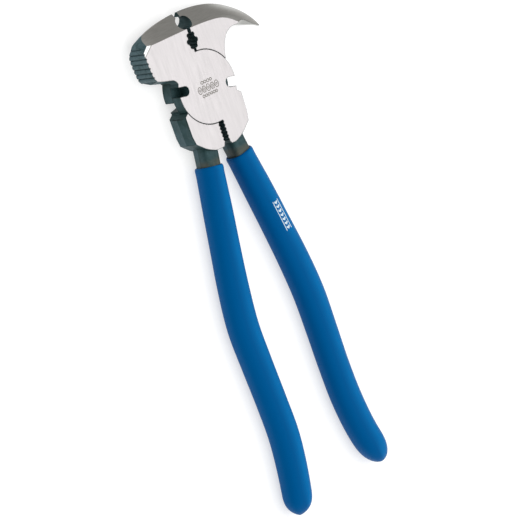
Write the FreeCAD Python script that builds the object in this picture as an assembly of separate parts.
"""Fencing pliers: two lap-jointed steel forgings, the rivet they turn on, and two dipped grips.

The tool lies on its back. +Z is up through its thickness, +Y runs from the grips to the jaws, and
+X points to the side of the staple claw. The origin is on the pivot's axis, on the rear ground face.
Each forging is half as thick as the head over the joint disc, and as thick as the head everywhere
else, so both ground faces are shared between the two. Everything is drawn as it stands at rest,
with the jaws REST_OPEN degrees apart.
"""

import FreeCAD, Part
import math
import os
from FreeCAD import Vector

OUT = "parts"

# Head, in millimetres and degrees
THICK = 13.0  # over the two ground faces
MID = THICK / 2
DISC_R = 18.6  # the round boss of each half
RECESS_R = 18.95  # the seat that the other half's boss turns in
LAP_GAP = 0.05  # between the two bosses
REST_OPEN = 4.0
JAW_CLEAR = 0.04  # each jaw stops this far short of the line where they meet
EDGE_BREAK = 0.35  # small chamfer round the ground faces
BULGE_INSET = 0.8  # the forged walls' parting ridge starts this far from each ground face

# Pincer bevels over the top of the jaws
RIDGE_LAND = 0.4  # half the width of the flat left at the ridge
BEVEL_FOOT = 30.8  # height on the ground face where the bevel starts
RIDGE_TOP = 39.6
TIP_SHIFT = -0.8  # above the nail puller's hole the jaws meet this far to the hammer's side

# Holes between the jaws, as bored with the jaws shut
PULLER_HOLE = (0.1, 34.1, 3.2)  # x, y, radius of the nail puller's hole
GRIP_LOBES = [(1.55, 27.5, 1.05), (2.85, 24.4, 1.25), (1.55, 21.5, 1.05)]  # reach each side, y, radius
GRIP_WAIST = [(0.3, 28.4), (1.0, 27.5), (1.4, 26.0), (2.3, 24.4), (1.85, 22.8), (1.1, 21.5), (0.2, 20.4)]

# Shear wire cutters: a slot each side of each boss
SLOT_WIDTH = 5.0
SLOT_ROOT = 12.0  # distance from the pivot to the slot's round end
HAMMER_SLOT_ANGLE = 169.5
CLAW_SLOT_ANGLE = 193.0

# Wire gripper between the shoulders, below the pivot
NIP_CENTRE = 0.95
NIP_WIDTH = 3.0
NIP_PITCH = 1.9
NIP_TOOTH = 0.45

# Hammer face: a gentle dome through three points, with rounded ribs across it
DOME = [(-31.1, 32.7), (-31.4, 24.0), (-30.3, 14.6)]
GROOVES = [30.5, 28.0, 25.5, 23.0, 20.5, 18.0, 15.5]  # height of each groove between two ribs
GROOVE_DEPTH = 0.75

# Rivet
RIVET_R = 4.8
RIVET_HEAD_R = 6.3
RIVET_HEAD_DEPTH = 1.6
RIVET_CLEAR = 0.04

# Handles
NECK = (10.2, 10.6)  # width across the tool, thickness
TANG_COAT = 1.5  # grip wall at its sides
GRIP_START = 38.0  # distance below the pivot where the grips begin
GRIP_THICK = 12.6
NOSE = {1: (16.0, 2.5, 0.52), -1: (13.0, 3.2, 0.7)}  # length of each grip's nose, powers of its profile
NOSE_STEPS = (0.0, 0.2, 0.38, 0.54, 0.68, 0.8, 0.89, 0.95, 0.985)
TANG_SHORT = 6.0  # tang stops this far inside the grip's end
SPLAY = 1.6  # degrees; the hammer side's handle is sprung out, the claw side's in
SPLAY_CENTRE = (9.0, -30.0)
# distance below the pivot, offsets of the claw side and of the hammer side, width of the grip
HANDLE_LINE = [
    (24, 8.1, 8.1, 13.6),
    (38, 10.4, 10.3, 13.9),
    (60, 14.4, 14.2, 15.2),
    (80, 18.2, 17.5, 15.7),
    (100, 21.8, 20.6, 16.5),
    (120, 24.25, 22.6, 16.9),
    (140, 23.9, 22.6, 16.5),
    (160, 23.2, 22.3, 16.2),
    (180, 23.05, 23.0, 16.3),
    (200, 25.7, 26.15, 15.8),
]
HANDLE_FOOT = {1: (216.9, 32.3), -1: (220.2, 30.1)}  # where each dip ends, and its offset
FOOT_WIDTH = 14.7
GRIP_POWER = 2.6  # 2 would make the grip's section an ellipse
TANG_POWER = 4.0

UP = Vector(0, 0, 1)
FAR = 60.0


def flat(point, z=0.0):
    return Vector(point[0], point[1], z)


def outline(start, *steps):
    """A closed wire. A step is a point, for a straight line, or a list of points for a curve through
    them: two make an arc, more a spline."""
    edges = []
    here = flat(start)
    for step in steps:
        points = [flat(p) for p in (step if isinstance(step, list) else [step])]
        if len(points) == 1:
            edges.append(Part.LineSegment(here, points[0]).toShape())
        elif len(points) == 2:
            edges.append(Part.Arc(here, points[0], points[1]).toShape())
        else:
            curve = Part.BSplineCurve()
            curve.interpolate([here] + points)
            edges.append(curve.toShape())
        here = points[-1]
    edges.append(Part.LineSegment(here, flat(start)).toShape())
    return Part.Wire(edges)


def prism(wire, low=0.0, high=THICK):
    solid = Part.Face(wire).extrude(UP * (high - low))
    solid.translate(UP * low)
    return solid


def disc(radius, low, high, centre=(0, 0)):
    return Part.makeCylinder(radius, high - low, flat(centre, low), UP)


def shut_to_rest(shape, turn):
    """A shape drawn with the jaws shut, turned about the pivot to the rest pose."""
    moved = shape.copy()
    moved.rotate(Vector(), UP, turn)
    return moved


def flipped(shape):
    """The same shape on the other ground face."""
    return shape.mirror(Vector(0, 0, MID), UP)


def beyond(point, normal):
    """Everything on the outer side of a plane, as a block to cut with."""
    block = Part.makeBox(2 * FAR, 2 * FAR, FAR, Vector(-FAR, -FAR, 0))
    turn = FreeCAD.Rotation(UP, Vector(*normal))
    block.Placement = FreeCAD.Placement(Vector(*point), turn)
    return block


def both_faces(cutters):
    return cutters + [flipped(c) for c in cutters]


# ---------------------------------------------------------------- jaws


def bevel_cutter(sections, overrun=0.35):
    """Cuts the pincer bevel. A section is a foot on the ground face, a point on the ridge and how far
    the bevel crowns between them."""
    wires = []
    for foot, ridge, crown in sections:
        low = flat(foot, THICK)
        line = flat(ridge, MID + RIDGE_LAND) - low
        outward = UP - line * (line.z / line.dot(line))
        outward.normalize()

        def on_bevel(t):
            return low + line * t + outward * (4 * crown * t * (1 - t))

        inner, *rest = [on_bevel(t) for t in (-overrun, 0, 0.5, 1, 1 + overrun)]
        corner = Vector(rest[-1].x, rest[-1].y, inner.z + 2)
        wires.append(outline_3d(inner, rest, corner))
    return Part.makeLoft(wires, True, False)


def outline_3d(start, curve_points, corner):
    """A closed wire of one curve and the two straight lines that bring it back round a corner."""
    curve = Part.BSplineCurve()
    curve.interpolate([start] + curve_points)
    sides = [(curve_points[-1], corner), (corner, start)]
    return Part.Wire([curve.toShape()] + [Part.LineSegment(a, b).toShape() for a, b in sides])


def meeting_edge(side):
    """Three points up the edge where this jaw meets the other, which steps over inside the hole."""
    lean = math.tan(math.radians(REST_OPEN / 2))
    hole_y = PULLER_HOLE[1]
    steps = [(hole_y, 0.0), (hole_y, TIP_SHIFT), (RIDGE_TOP, TIP_SHIFT)]
    return [(shift + side * (JAW_CLEAR + y * lean), y) for y, shift in steps]


def hammer_jaw():
    body = prism(
        outline(
            (-JAW_CLEAR, 0),
            *meeting_edge(-1),
            [(-11.5, 38.95), (-21.5, 37.1)],
            (-29.5, 34.4),
            [(-30.6, 33.8), DOME[0]],
            *ribs(),
            (-29.7, 13.7),
            (-28.8, 12.9),
            (-26.9, 12.2),
            (-19.3, 10.2),
            [(-18.1, 9.3), (-17.0, 7.6)],
            (-17.0, 5.0),
        )
    )
    bevel = bevel_cutter(
        [
            ((4, BEVEL_FOOT), (4, 39.7), 0),
            ((-9, BEVEL_FOOT), (-9, 39.2), 0),
            ((-18, BEVEL_FOOT), (-17.5, 38.1), 0),
            ((-26, BEVEL_FOOT), (-25.5, 35.9), 0),
            ((-36, BEVEL_FOOT), (-37, 32.4), 0),
        ]
    )
    shoulder_facet = beyond((-23.0, 36.8, 6.9), (-0.304, 0.792, 0.531))
    corner = beyond((-27.7, 31.4, 12.2), (-0.495, 0.610, 0.620))
    glint = beyond((-26.4, 30.0, THICK), (-0.228, 0.305, 0.924))
    heel = beyond((-30.0, 13.9, THICK - 0.5), (-0.62, -0.42, 0.66))
    for cutter in both_faces([bevel, shoulder_facet, corner, glint, heel]):
        body = body.cut(cutter)
    return body.fuse(parting_bulge((-28.5, 12.8), (-19.8, 10.35), 1.1))


def ribs():
    """Steps of an outline down the hammer face: round ribs that meet in narrow grooves."""
    dome = Part.Circle(*[flat(p) for p in DOME])

    def on_dome(y, depth=0.0):
        radius = dome.Radius - depth
        return dome.Center.x - math.sqrt(radius**2 - (y - dome.Center.y) ** 2), y

    steps = []
    above = DOME[0][1]
    for y in GROOVES:
        steps.append([on_dome((above + y) / 2), on_dome(y, GROOVE_DEPTH)])
        above = y
    return steps + [[on_dome((above + DOME[2][1]) / 2, 0.2), DOME[2]]]


def claw_jaw():
    body = prism(
        outline(
            (JAW_CLEAR, 0),
            *meeting_edge(1),
            [(9, 39.35), (17, 38.1), (25, 35.7), (33, 31.6), (40.5, 26.2), (45, 21.6), (48.6, 16.3)],
            (48.2, 15.8),
            [(44, 17.9), (38.5, 19.7), (33.5, 21.7), (28.6, 22.6)],
            [(24.5, 21.9), (21.3, 19.8)],
            [(18.5, 15.2), (16.7, 9.2)],
            (15.0, 5.0),
        )
    )
    bevel = bevel_cutter(
        [
            ((-4, BEVEL_FOOT), (-4, 39.7), 0),
            ((8, 30.5), (9, 39.35), 0.1),
            ((15, 30.0), (18, 37.9), 0.3),
            ((20, 29.3), (25, 35.7), 0.6),
            ((24, 28.1), (32, 32.2), 0.8),
            ((27.5, 26.2), (38.5, 27.8), 0.8),
            ((30.5, 24.1), (44, 22.7), 0.7),
            ((33, 21.9), (48.6, 16.2), 0.6),
            ((34, 18.5), (50, 10.5), 0.6),
        ],
        overrun=0.22,
    )
    underside = bevel_cutter(
        [
            ((29.0, 22.0), (28.8, 17.5), 0),
            ((32.0, 23.2), (31.5, 18.9), 0.1),
            ((35.0, 24.4), (33.8, 19.3), 0.2),
            ((39.9, 23.5), (37.8, 17.7), 0.3),
            ((45.6, 21.6), (43.2, 16.0), 0.3),
            ((50.0, 19.4), (47.2, 13.9), 0.2),
            ((53.0, 17.5), (50.0, 12.0), 0.2),
        ],
        overrun=0.25,
    )
    for cutter in both_faces([bevel, underside]):
        body = body.cut(cutter)
    return body


def jaw_holes(side, turn):
    """The nail puller's hole and one side of the toothed pipe grip, which the jaws share."""
    x, y, radius = PULLER_HOLE
    cutters = [disc(radius, -1, THICK + 1, (x, y))]
    for x, y, radius in GRIP_LOBES:
        cutters.append(disc(radius, -1, THICK + 1, (side * (x - radius), y)))
    past = [(side * -0.6, GRIP_WAIST[-1][1]), (side * -0.6, GRIP_WAIST[0][1])]
    waist = [(side * x, y) for x, y in GRIP_WAIST] + past
    cutters.append(prism(outline(*waist), -1, THICK + 1))
    return [shut_to_rest(c, turn) for c in cutters]


# ---------------------------------------------------------------- shoulders and cutters


def shoulder(side):
    """The block below the joint that carries the handle and one side of the wire gripper."""
    nip = NIP_CENTRE + side * NIP_WIDTH / 2
    body = prism(
        outline(
            (side * 15.0, -4.9),
            (side * 16.2, -5.4),
            (side * 17.2, -8.0),
            (side * 19.6, -9.8),
            (side * 19.3, -20.0),
            (side * 18.4, -24.4),
            (side * 13.8, -28.1),
            [(side * 9.8, -30.3), (side * 7.2, -31.3)],
            (nip + side * 1.2, -31.2),
            (nip, -29.2),
            (nip, -12.0),
        )
    )
    edges = [e for e in body.Edges if is_outer(e, side)]
    body = body.makeChamfer(EDGE_BREAK, edges)
    wall = [(side * 19.6, -10.2), (side * 18.6, -24.2)]
    return body.fuse(parting_bulge(*wall[::-side], 0.7))


def is_outer(edge, side):
    """True for the edges of a shoulder's ground faces along its outside."""
    middle = edge.CenterOfMass
    on_face = abs(middle.z) < 1e-6 or abs(middle.z - THICK) < 1e-6
    return on_face and side * middle.x > 6 and middle.y < -9.9


def parting_bulge(start, end, reach):
    """The shallow ridge at mid-thickness that the forging dies leave along a wall. The outside is on
    the right, going from start to end."""
    start, end = flat(start), flat(end)
    along = end - start
    outward = along.cross(UP).normalize()
    root = start - outward * 0.3
    section = Part.makePolygon(
        [
            root + UP * BULGE_INSET,
            start + UP * BULGE_INSET,
            start + outward * reach + UP * MID,
            start + UP * (THICK - BULGE_INSET),
            root + UP * (THICK - BULGE_INSET),
            root + UP * BULGE_INSET,
        ]
    )
    return Part.Face(section).extrude(along)


def nip_teeth(side):
    """Rounded grooves across the wire gripper."""
    face_x = NIP_CENTRE + side * NIP_WIDTH / 2
    count = 6
    grooves = []
    for i in range(count):
        y = -19.4 - i * NIP_PITCH - (0 if side > 0 else NIP_PITCH / 2)
        radius = 0.75
        grooves.append(disc(radius, -1, THICK + 1, (face_x - side * (radius - NIP_TOOTH), y)))
    return grooves


def cutter_slot(angle, low, high):
    radius = SLOT_WIDTH / 2
    centre = SLOT_ROOT + radius
    slot = Part.makeBox(12, SLOT_WIDTH, high - low, Vector(centre, -radius, low))
    slot = slot.fuse(disc(radius, low, high, (centre, 0)))
    slot.rotate(Vector(), UP, angle)
    return slot


# ---------------------------------------------------------------- handles


def handle_curve(side):
    """The middle line of a handle, from inside the shoulder to the end of its grip."""
    column = 2 if side > 0 else 1
    points = [Vector(side * row[column], -row[0], MID) for row in HANDLE_LINE]
    foot, offset = HANDLE_FOOT[side]
    points.append(Vector(side * offset, -foot, MID))
    line = Part.BSplineCurve()
    line.interpolate(points)
    shape = line.toShape()
    shape.rotate(Vector(side * SPLAY_CENTRE[0], SPLAY_CENTRE[1], MID), UP, SPLAY)
    return shape.Curve


def blend_width(distance):
    """Width of the grip at a distance below the pivot."""
    for (d0, _, _, w0), (d1, _, _, w1) in zip(HANDLE_LINE, HANDLE_LINE[1:]):
        if distance <= d1:
            return w0 + (w1 - w0) * max(0.0, (distance - d0) / (d1 - d0))
    return FOOT_WIDTH


def rounded_section(curve, parameter, width, thick, power):
    """A rounded rectangle square to the handle's line."""
    centre = curve.value(parameter)
    along = Vector(*curve.tangent(parameter)[0])
    across = along.cross(UP).normalize()
    points = []
    steps = 24
    for i in range(steps):
        angle = 2 * math.pi * (i + 0.5) / steps
        c, s = math.cos(angle), math.sin(angle)
        u = math.copysign(abs(c) ** (2 / power), c) * width / 2
        v = math.copysign(abs(s) ** (2 / power), s) * thick / 2
        points.append(centre + across * u + UP * v)
    ring = Part.BSplineCurve()
    ring.interpolate(Points=points, PeriodicFlag=True)
    return Part.Wire([ring.toShape()])


def swept(curve, stations, size, power):
    """A solid through rounded sections. size gives width and thickness at a distance along."""
    total = curve.length()
    sections = []
    for s in stations:
        parameter = curve.parameterAtDistance(s)
        width, thick = size(s, total)
        sections.append(rounded_section(curve, parameter, width, thick, power))
    return Part.makeLoft(sections, True, False)


def nose_scale(side, to_end):
    """How far a grip has narrowed at a distance from its end: 1 where its nose starts, 0 at its tip."""
    length, inner, outer = NOSE[side]
    t = max(0.0, 1 - to_end / length)
    return (1 - t**inner) ** outer


def grip_outer(side):
    """The dipped sleeve as a solid bar with a pointed nose."""
    curve = handle_curve(side)
    start = GRIP_START - HANDLE_LINE[0][0] + 0.4
    nose = curve.length() - NOSE[side][0]

    def size(s, total):
        scale = nose_scale(side, total - s)
        return blend_width(HANDLE_LINE[0][0] + s * 0.985) * scale, GRIP_THICK * scale**1.1

    bar = swept(curve, [start + i * (nose - start) / 11 for i in range(12)], size, GRIP_POWER)
    end = swept(curve, [nose + NOSE[side][0] * step for step in NOSE_STEPS], size, GRIP_POWER)
    return bar.fuse(end)


def tang(side):
    curve = handle_curve(side)
    total = curve.length()
    grip_from = GRIP_START - HANDLE_LINE[0][0]
    nose = total - NOSE[side][0]
    stations = [0, grip_from * 0.5, grip_from]
    stations += [grip_from + i * (nose - grip_from) / 7 for i in range(1, 8)]
    stations += [(nose + total - TANG_SHORT) / 2, total - TANG_SHORT]

    def size(s, total):
        if s <= grip_from:
            return NECK
        scale = nose_scale(side, total - s)
        width = blend_width(HANDLE_LINE[0][0] + s * 0.985) - 2 * TANG_COAT
        return width * scale, (NECK[1] - 0.3) * scale

    return swept(curve, stations, size, TANG_POWER)


# ---------------------------------------------------------------- the five pieces


def rivet_holes():
    """The seat of the rivet in both halves, with running clearance."""
    shank = disc(RIVET_R + RIVET_CLEAR, -1, THICK + 1)
    head = Part.makeCone(
        RIVET_HEAD_R + RIVET_CLEAR, RIVET_R + RIVET_CLEAR, RIVET_HEAD_DEPTH + RIVET_CLEAR, Vector(), UP
    )
    return shank.fuse(head)


def pivot_rivet():
    shank = disc(RIVET_R, 0, THICK)
    head = Part.makeCone(RIVET_HEAD_R, RIVET_R, RIVET_HEAD_DEPTH, Vector(), UP)
    return shank.fuse(head).fuse(flipped(head)).removeSplitter()


def hammer_half():
    boss_foot = MID + LAP_GAP / 2
    body = hammer_jaw().fuse(shoulder(1)).fuse(disc(DISC_R, boss_foot, THICK))
    body = body.cut(disc(RECESS_R, -1, boss_foot))
    body = body.fuse(tang(1))
    cutters = jaw_holes(-1, REST_OPEN / 2) + nip_teeth(1)
    cutters += [cutter_slot(HAMMER_SLOT_ANGLE + a, boss_foot - 1, THICK + 1) for a in (0, 180)]
    cutters.append(disc(RIVET_R, 0, THICK))
    cutters.append(flipped(Part.makeCone(RIVET_HEAD_R, RIVET_R, RIVET_HEAD_DEPTH, Vector(), UP)))
    for cutter in cutters:
        body = body.cut(cutter)
    return body.removeSplitter()


def claw_half():
    boss_top = MID - LAP_GAP / 2
    body = claw_jaw().fuse(shoulder(-1)).fuse(disc(DISC_R, 0, boss_top))
    body = body.cut(disc(RECESS_R, boss_top, THICK + 1))
    body = body.fuse(tang(-1))
    cutters = jaw_holes(1, -REST_OPEN / 2) + nip_teeth(-1)
    cutters += [cutter_slot(CLAW_SLOT_ANGLE + a, -1, boss_top + 1) for a in (0, 180)]
    cutters.append(rivet_holes())
    for cutter in cutters:
        body = body.cut(cutter)
    return body.removeSplitter()


def grip(side):
    return grip_outer(side).cut(tang(side))


def main():
    os.makedirs(OUT, exist_ok=True)
    pieces = {
        "hammer_half": hammer_half(),
        "claw_half": claw_half(),
        "pivot_rivet": pivot_rivet(),
        "hammer_side_grip": grip(1),
        "claw_side_grip": grip(-1),
    }
    for name, shape in pieces.items():
        solids = shape.Solids
        print(name, "solids", len(solids), "volume", round(shape.Volume), "valid", shape.isValid())
        kept = solids[0] if len(solids) == 1 else Part.makeCompound(solids)
        kept.exportStep(os.path.join(OUT, name + ".step"))


main()
